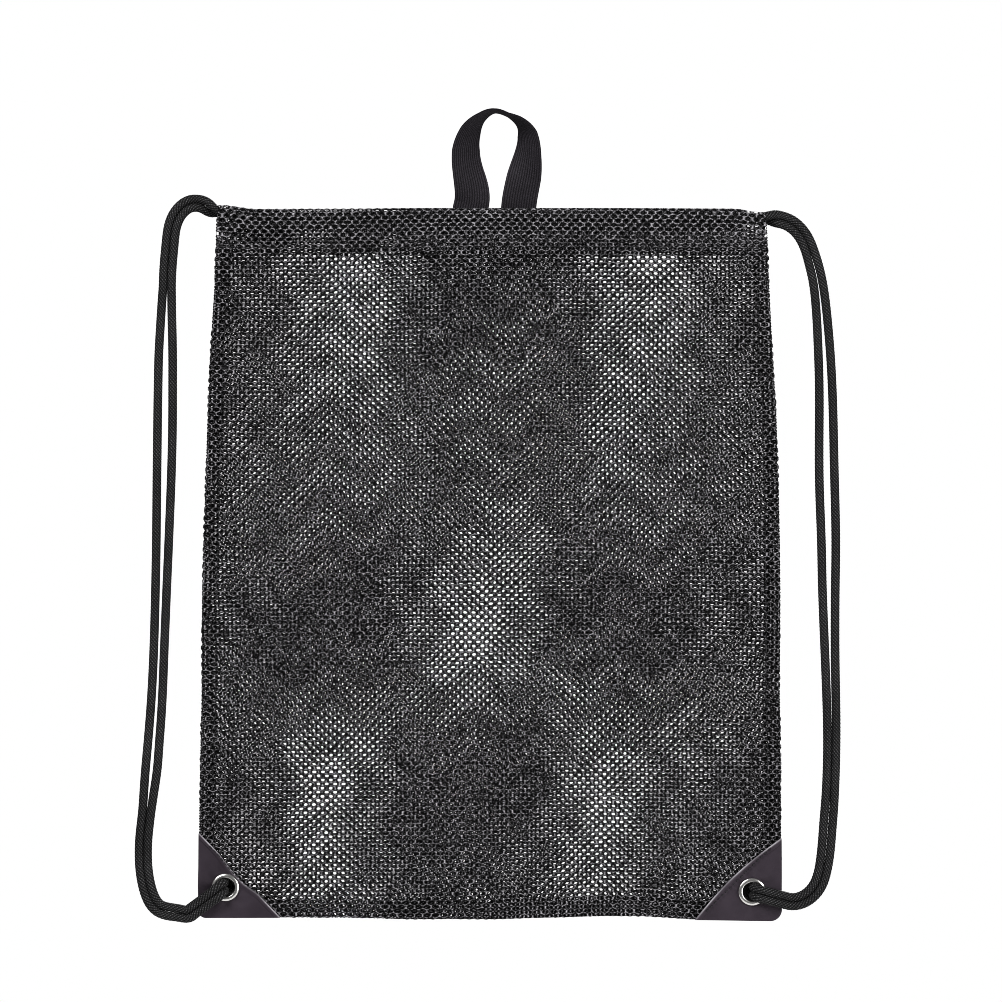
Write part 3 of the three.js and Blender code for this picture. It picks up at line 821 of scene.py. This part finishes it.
def eyelet(side):
    """A nickel eyelet with rolled rims, and the washer behind it."""
    low, high = box_mm(side + "_eyelet")
    washer_low, washer_high = box_mm(side + "_eyelet_washer")
    middle = (low + high) / 2
    outer = (high[0] - low[0]) / 2
    front, back = low[1], high[1]
    hole, barrel = 0.633 * outer, 0.722 * outer
    profile = rounded([
        (hole, front + 0.9), (hole + 0.5, front + 0.15), (0.83 * outer, front), (0.95 * outer, front + 0.35),
        (outer, front + 1.0), (outer, front + 1.6), (barrel, front + 1.6), (barrel, washer_high[1] + 0.3),
        (0.88 * outer, washer_high[1] + 0.3), (0.88 * outer, back - 0.4), (0.76 * outer, back),
        (hole, back - 0.5),
    ], 0.35)
    rings = {"_eyelet": profile}
    near, far = washer_low[1], washer_high[1]
    rings["_eyelet_washer"] = rounded([
        (barrel + 0.3, near), (outer, near), (outer, far - 0.25), (outer - 0.5, far), (barrel + 0.3, far),
    ], 0.2)
    for node, profile in rings.items():
        made = lathe(side + node.replace("_eyelet_washer", "_washer") + "_ring", profile[::-1], middle)
        finish_piece(made, nickel, [side + node])
        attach(made, "bag")


for side in ("left", "right"):
    eyelet(side)

# ---- Coated corner patches ----

PATCH_HOLE = 7.4
PATCH_LEG = box_mm("left_front_patch")[1][2]
# Corner radius, bow of the long edge, and how far the patch reaches up and across
PATCH_CUT = {
    "left": (5.0, 0.0, PATCH_LEG - 1.0, PATCH_LEG - 3.8),
    "right": (7.5, 2.2, PATCH_LEG - 3.2, PATCH_LEG - 0.8),
}


def corner_patch(side, sign):
    """One coated patch folded round a bottom corner: front face, round the seams, back face, with
    turned-in long edges. The section is a closed loop, outer skin then inner skin."""
    low, high = box_mm(side + "_front_patch")
    outer, inner = -low[1], -high[1]
    hole = centre_mm(side + "_eyelet")
    corner_radius, bowed, tall_leg, low_leg = PATCH_CUT[side]
    tall = [(float(half_width(z)), z) for z in np.linspace(tall_leg, corner_radius, 70)]
    base = float(half_width(corner_radius))
    round_corner = [
        (base - corner_radius + corner_radius * math.cos(a), corner_radius - corner_radius * math.sin(a))
        for a in np.linspace(0, math.pi / 2, 20)[1:-1]
    ]
    flat = [(x, 0.0) for x in np.linspace(base - corner_radius, HALF_BOTTOM - low_leg, 70)]
    outline = np.array(tall + round_corner + flat)
    share = np.linspace(0, 1, len(outline))[:, None]
    long_edge = outline[0] + (outline[-1] - outline[0]) * share
    away = outline - long_edge
    away /= np.maximum(np.linalg.norm(away, axis=1), 1e-6)[:, None]
    away[0], away[-1] = away[1], away[-2]
    inset = 0.6

    def skin(level):
        """(place between the long edge and the outline, sideways overshoot, y) stations of one skin."""
        across = np.concatenate([[0, 0.004, 0.012, 0.025, 0.045, 0.07], np.linspace(0.1, 1, 44)])
        front = [(t, 0.0, -level) for t in across]
        turn = [(1.0, 0.9 * math.cos(a), level * math.sin(a))
                for a in np.linspace(-math.pi / 2, math.pi / 2, 11)[1:-1]]
        return front + turn + [(t, 0.0, level) for t in across[::-1]]

    loop = [(*s, True) for s in skin(outer)] + [(*s, False) for s in skin(inner)[::-1]]
    rows, painted_hem_highlight = [], []
    for t, overshoot, y, is_outer in loop:
        place = long_edge + (outline - long_edge) * t + away * (overshoot - inset)
        x, z = place[:, 0], place[:, 1]
        bow = bowed * np.sin(math.pi * share[:, 0]) * (1 - ramp(t, 0, 0.5))
        x, z = x - bow, z + bow
        depth = np.full(len(place), float(y))
        painted_hem_highlight.append(np.zeros(len(place)))
        if is_outer:
            from_edge = t * np.linalg.norm(outline - long_edge, axis=1)
            hem = 0.55 * (1 - ramp(from_edge, 2.3, 3.0)) * ramp(from_edge, 0, 0.5)
            d = np.hypot(x - abs(hole[0]), z - hole[2])
            angle = np.arctan2(z - hole[2], x - abs(hole[0]))
            pucker = 0.32 * np.sin(9 * angle) * np.exp(-((d - 11) / 5) ** 2)
            slack = 0.3 * np.sin(x / 5.3 + z / 7.1) * np.sin(z / 4.7 - x / 9.0) * ramp(from_edge, 3, 12)
            depth += np.sign(y) * (hem + (pucker + slack) * ramp(d, 8.5, 10.5)) * (abs(y) >= outer - 1e-9)
            # A painted highlight along the folded long edge of the outer skin, brightest just in from the
            # edge
            painted_hem_highlight[-1] = np.exp(-((from_edge - 0.3) / 0.45) ** 2) * (0.7 + 0.3 * np.sin(x / 3.1))
        lean, rise = held_lie(sign * x, z)
        rows.append(np.stack([sign * x + lean, depth, z + rise], axis=1))
    points = np.array(rows)
    m, n = points.shape[:2]
    flat_points = points.reshape(-1, 3)
    grid = np.arange(m * n).reshape(m, n)
    down = np.roll(grid, -1, axis=0)
    quads = np.stack([grid[:, :-1], grid[:, 1:], down[:, 1:], down[:, :-1]], axis=-1).reshape(-1, 4)
    middle = flat_points[quads].mean(1)
    clear = np.hypot(middle[:, 0] - hole[0], middle[:, 2] - hole[2]) > PATCH_HOLE
    quads = quads[clear]
    if sign > 0:
        quads = quads[:, ::-1]
    made = make_object(side + "_corner_patch", flat_points, [quads], np.array(painted_hem_highlight).ravel())
    finish_piece(made, coated, [side + "_front_patch", side + "_back_patch"])
    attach(made, "bag")


corner_patch("left", -1)
corner_patch("right", 1)

# ---- Hang loop ----

WEBBING_STEP = 0.55
SEWN_RUNGS = 4


def webbing_line():
    """The hang loop's middle line and the direction across it, from its CAD rungs, with both sewn ends."""
    points, faces = cad_mesh("hang_loop")
    base = points[:, 2].min()
    on_left = points[:, 0] < centre_mm("hang_loop")[0]
    left_foot = np.flatnonzero((points[:, 2] < base + 0.01) & on_left)
    width = np.ptp(points[left_foot, 0])
    rungs = rings_from(set(left_foot.tolist()), points, faces)
    middle = np.array([r.mean(0) for r in rungs])
    across = []
    for r in rungs:
        _, _, axes = np.linalg.svd(r - r.mean(0))
        direction = axes[0]
        if across and direction @ across[-1] < 0:
            direction = -direction
        across.append(direction)
    across = np.array(across)
    if across[0, 0] < 0:
        across = -across
    ends = {}
    for leg in ("left", "right"):
        low, high = box_mm(f"hang_loop_{leg}_end")
        x, y = (low[0] + high[0]) / 2, (low[1] + high[1]) / 2
        ends[leg] = [np.array([x, y, z]) for z in np.linspace(low[2], high[2] - 1, SEWN_RUNGS)]
    middle = np.concatenate([ends["left"], middle, ends["right"][::-1]])
    sewn = [np.repeat(end, SEWN_RUNGS, axis=0) for end in (across[:1], across[-1:])]
    across = np.concatenate([sewn[0], across, sewn[1]])
    return middle, across, width


LOOP_ACROSS = [0.8, -0.1, -1.1, -2.2, -2.2, -1.5, -1.0, 0, -0.1, 0, 0.1, 0.3]
LOOP_UP = [0, 0, 0, 0, 0.2, 0.6, -2.0, -2.4, 0, 0, 0, 0]
LOOP_FLATNESS = [1, 0.84, 0.75, 0.46, 0.15, 0, 0, 0.2, 0.52, 0.73, 0.9, 1]


def loop_lie(middle, across):
    """The soft loop's own lie: its legs turn edge-on sooner than the CAD's and its top slopes."""
    free = slice(SEWN_RUNGS, len(middle) - SEWN_RUNGS)
    middle[free, 0] += LOOP_ACROSS
    middle[free, 2] += LOOP_UP
    for i, flat in zip(range(SEWN_RUNGS, len(middle) - SEWN_RUNGS), LOOP_FLATNESS):
        x, rest = across[i, 0], across[i, 1:]
        sideways = np.linalg.norm(rest)
        if sideways > 0:
            across[i, 1:] = rest / sideways * math.sqrt(1 - flat ** 2)
            across[i, 0] = math.copysign(flat, x)


def hang_loop():
    """The strip of ribbed webbing, from one sewn end over the top to the other."""
    middle, across, width = webbing_line()
    loop_lie(middle, across)
    line, place = spline(middle, WEBBING_STEP)
    turn = np.stack([np.interp(place, np.arange(len(across)), across[:, i]) for i in range(3)], axis=1)
    tangent, _, _ = frames_along(line)
    turn -= tangent * np.einsum("ij,ij->i", turn, tangent)[:, None]
    turn /= np.linalg.norm(turn, axis=1)[:, None]
    normal = np.cross(tangent, turn)
    ribs, samples, thick = 14, 85, 1.25
    q = np.linspace(-1, 1, samples)
    rib = np.abs(np.sin(math.pi * ribs * (q + 1) / 2)) ** 0.7
    length = WEBBING_STEP * np.arange(len(line))
    over_rib = np.cos(math.pi * ribs * (q + 1))
    pick = 0.5 + 0.5 * np.sin(2 * math.pi * length / 1.3)[:, None] * over_rib[None, :]
    relief = 0.72 * rib[None, :] + 0.28 * pick
    edge = np.sqrt(np.clip(1 - np.clip((np.abs(q) - 0.955) / 0.045, 0, 1) ** 2, 0, 1))
    half = edge * (thick / 2 - 0.22) + 0.22 * relief * edge
    offset = (width / 2) * q
    centre = line[:, None, :] + offset[None, :, None] * turn[:, None, :]
    top = centre + half[..., None] * normal[:, None, :]
    bottom = centre - half[..., None] * normal[:, None, :]
    n = len(line)
    section = np.concatenate([top, bottom[:, ::-1][:, 1:-1]], axis=1)
    # The ribs' relief weights the highlight painted on the webbing's ribs, with painted shade between them
    painted_highlight = np.concatenate([relief, relief[:, ::-1][:, 1:-1]], axis=1)
    m = section.shape[1]
    quads = tube_quads(np.arange(n * m).reshape(n, m))
    points = section.reshape(-1, 3)
    made = make_object("hang_loop_webbing", points, [quads[:, ::-1]], painted_highlight.ravel())
    finish_piece(made, webbing, ["hang_loop", "hang_loop_left_end", "hang_loop_right_end"])
    blend_with(made)


hang_loop()

# ---- Stitching ----

THREAD_RADIUS = 0.28
STITCH, STITCH_GAP = 2.6, 0.9
SEWN_LIFT = OUTER_LAYER + YARN_LIFT + 0.05


def stitches(name, starts, ends, normals, replaced):
    """Rows of short rounded stitches, each from a start to an end point, bowed off the fabric."""
    starts, ends, normals = (np.asarray(a, float) for a in (starts, ends, normals))
    rings, sides = 6, 8
    t = np.linspace(0, 1, rings)
    along = ends - starts
    length = np.linalg.norm(along, axis=1)[:, None]
    along = along / length
    across = np.cross(along, normals)
    bow = 0.22 * np.sin(math.pi * t)
    size = THREAD_RADIUS * np.sqrt(np.clip(1 - (2 * t - 1) ** 4, 0.04, 1))
    angle = 2 * math.pi * np.arange(sides) / sides
    middle = (
        starts[:, None, :]
        + (ends - starts)[:, None, :] * t[None, :, None]
        + bow[None, :, None] * normals[:, None, :]
    )
    ring = (
        np.cos(angle)[None, None, :, None] * across[:, None, None, :]
        + np.sin(angle)[None, None, :, None] * normals[:, None, None, :]
    ) * size[None, :, None, None]
    points = (middle[:, :, None, :] + ring).reshape(-1, 3)
    count = len(starts)
    quads = tube_quads(np.arange(count * rings * sides).reshape(count, rings, sides))
    # Painted highlight, brightest at the middle of each stitch where it bows up, with painted shade toward
    # its ends where the thread goes into the fabric
    painted_highlight = np.broadcast_to(np.sin(math.pi * t)[None, :, None], (count, rings, sides)).ravel()
    made = make_object(name, points, [quads], 0.3 + 0.7 * painted_highlight)
    return finish_piece(made, thread, replaced), points


def casing_stitches(face, panel):
    """The row that holds a casing's hem, on the panel's outer face, in a left and a right half."""
    for sign, side in ((-1, "left"), (1, "right")):
        reach = float(half_width(STITCH_Z)) - 1.5
        starts = sign * np.arange(1, reach - STITCH, STITCH + STITCH_GAP)
        ends = starts + sign * STITCH
        rows = []
        for xs in (starts, ends):
            z = STITCH_Z + 0.25 * np.sin(xs / 31.0)
            y = standoff(xs, z) + ripple(xs, z) + SEWN_LIFT
            lean, rise = lie(xs, z)
            rows.append(np.stack([xs + lean, face * y, z + rise], axis=1))
        normals = np.tile([0, float(face), 0], (len(starts), 1))
        made, points = stitches(f"{panel}_casing_stitches_{side}", *rows, normals, [f"{panel}_casing_stitch"])
        blend_with(made)


casing_stitches(-1, "front")
casing_stitches(1, "back")


def straight_stitches(name, node, start, end, y_at, corner=None):
    """A row on the bag between two points, x and z, in place of one CAD thread. With corner, the name of a
    mouth corner's body, the row is baked in place and attached to no body; without it, the row is attached to
    the bag."""
    start, end = np.array(start, float), np.array(end, float)
    span = np.linalg.norm(end - start)
    step = (end - start) / span
    count = int((span + STITCH_GAP) // (STITCH + STITCH_GAP))
    at = np.arange(count) * (STITCH + STITCH_GAP)
    rows = []
    for offset in (at, at + STITCH):
        place = start + step * offset[:, None]
        x, z = place[:, 0], place[:, 1]
        lean, rise = held_lie(x, z)
        rows.append(np.stack([x + lean, y_at(x, z), z + rise], axis=1))
    made, points = stitches(name, *rows, np.tile([0, -1.0, 0], (count, 1)), [node])
    if corner:
        blend_with(made)
    else:
        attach(made, "bag")


def on_front(x, z):
    """Depth of a thread lying on the front panel."""
    return -(standoff(x, z) + ripple(x, z) + SEWN_LIFT)


low, high = box_mm("bottom_seam_thread")
straight_stitches("bottom_seam_stitches", "bottom_seam_thread",
                  (low[0], (low[2] + high[2]) / 2), (high[0], (low[2] + high[2]) / 2), on_front)
for side, sign in (("left", -1), ("right", 1)):
    low, high = box_mm(side + "_side_seam_thread")
    inset = float(half_width(low[2])) - (high[0] if sign > 0 else -low[0]) + 0.4
    straight_stitches(side + "_side_seam_stitches", side + "_side_seam_thread",
                      (sign * (float(half_width(low[2])) - inset), low[2]),
                      (sign * (float(half_width(high[2])) - inset), high[2]), on_front,
                      side + "_mouth_corner")
    low, high = box_mm(side + "_patch_thread")
    inner_x, outer_x = (high[0], low[0]) if sign < 0 else (low[0], high[0])
    level = low[1] - 0.25
    straight_stitches(side + "_patch_stitches", side + "_patch_thread",
                      (inner_x, low[2]), (outer_x, high[2]), lambda x, z: np.full(len(x), level))

low, high = box_mm("hang_loop_tack")
straight_stitches("hang_loop_tack_stitches", "hang_loop_tack",
                  (low[0], (low[2] + high[2]) / 2), (high[0], (low[2] + high[2]) / 2),
                  lambda x, z: np.full(len(x), low[1] + 0.1))

# ---- Stage, light and camera ----

low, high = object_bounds()
floor_mesh = bpy.data.meshes.new("floor")
FLOOR_RADIUS, FLOOR_Z, FLOOR_SIDES = 0.75, -0.3, 96
ring = [
    (FLOOR_RADIUS * math.cos(a), FLOOR_RADIUS * math.sin(a), FLOOR_Z)
    for a in np.linspace(0, 2 * math.pi, FLOOR_SIDES + 1)[:-1]
]
floor_mesh.from_pydata(ring, [], [list(range(FLOOR_SIDES))])
floor = bpy.data.objects.new("floor", floor_mesh)
bpy.context.scene.collection.objects.link(floor)
floor_mesh.materials.append(Nodes("pale_floor").set(Base_Color=(0.86, 0.86, 0.86, 1), Roughness=0.8))
floor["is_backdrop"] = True

world = bpy.data.worlds.new("studio")
bpy.context.scene.world = world
world.use_nodes = True
# White where the camera looks past the bag, and a dimmer white as light
nodes, links = world.node_tree.nodes, world.node_tree.links
ambient, backdrop = nodes["Background"], nodes.new("ShaderNodeBackground")
for background in (ambient, backdrop):
    background.inputs["Color"].default_value = (1, 1, 1, 1)
ambient.inputs["Strength"].default_value = 0.22
either = nodes.new("ShaderNodeMixShader")
sources = (nodes.new("ShaderNodeLightPath").outputs["Is Camera Ray"], ambient.outputs[0], backdrop.outputs[0])
for source, socket in zip(sources, either.inputs):
    links.new(source, socket)
links.new(either.outputs[0], nodes["World Output"].inputs[0])


def area_light(name, place, target, size, power):
    light = bpy.data.lights.new(name, "AREA")
    light.size, light.energy = size, power
    lamp = bpy.data.objects.new(name, light)
    bpy.context.scene.collection.objects.link(lamp)
    lamp.location = place
    lamp.rotation_mode = "QUATERNION"
    lamp.rotation_quaternion = (Vector(target) - Vector(place)).to_track_quat("-Z", "Y")
    lamp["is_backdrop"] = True


middle = (low + high) / 2
area_light("key", (-1.1, -1.5, 1.5), middle, 1.3, 42)
area_light("fill", (1.4, -1.2, 0.2), middle, 1.5, 24)
area_light("behind", (0.6, 1.6, 1.2), middle, 0.9, 25)

camera = bpy.data.objects.new("camera", bpy.data.cameras.new("camera"))
bpy.context.scene.collection.objects.link(camera)
FIELD = 0.642
camera.data.sensor_width = 36
camera.data.lens = 36 * CAMERA_DISTANCE * MM / FIELD
camera.location = (CAMERA_X * MM, -CAMERA_DISTANCE * MM, CAMERA_Z * MM)
camera.rotation_euler = (math.pi / 2, 0, 0)
camera.data.clip_start, camera.data.clip_end = 0.1, 20
bpy.context.scene.camera = camera
bpy.context.scene.view_settings.view_transform = "Standard"
bpy.context.scene.view_settings.gamma = 0.75
bpy.context.scene.cycles.filter_width = 0.9

low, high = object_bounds()
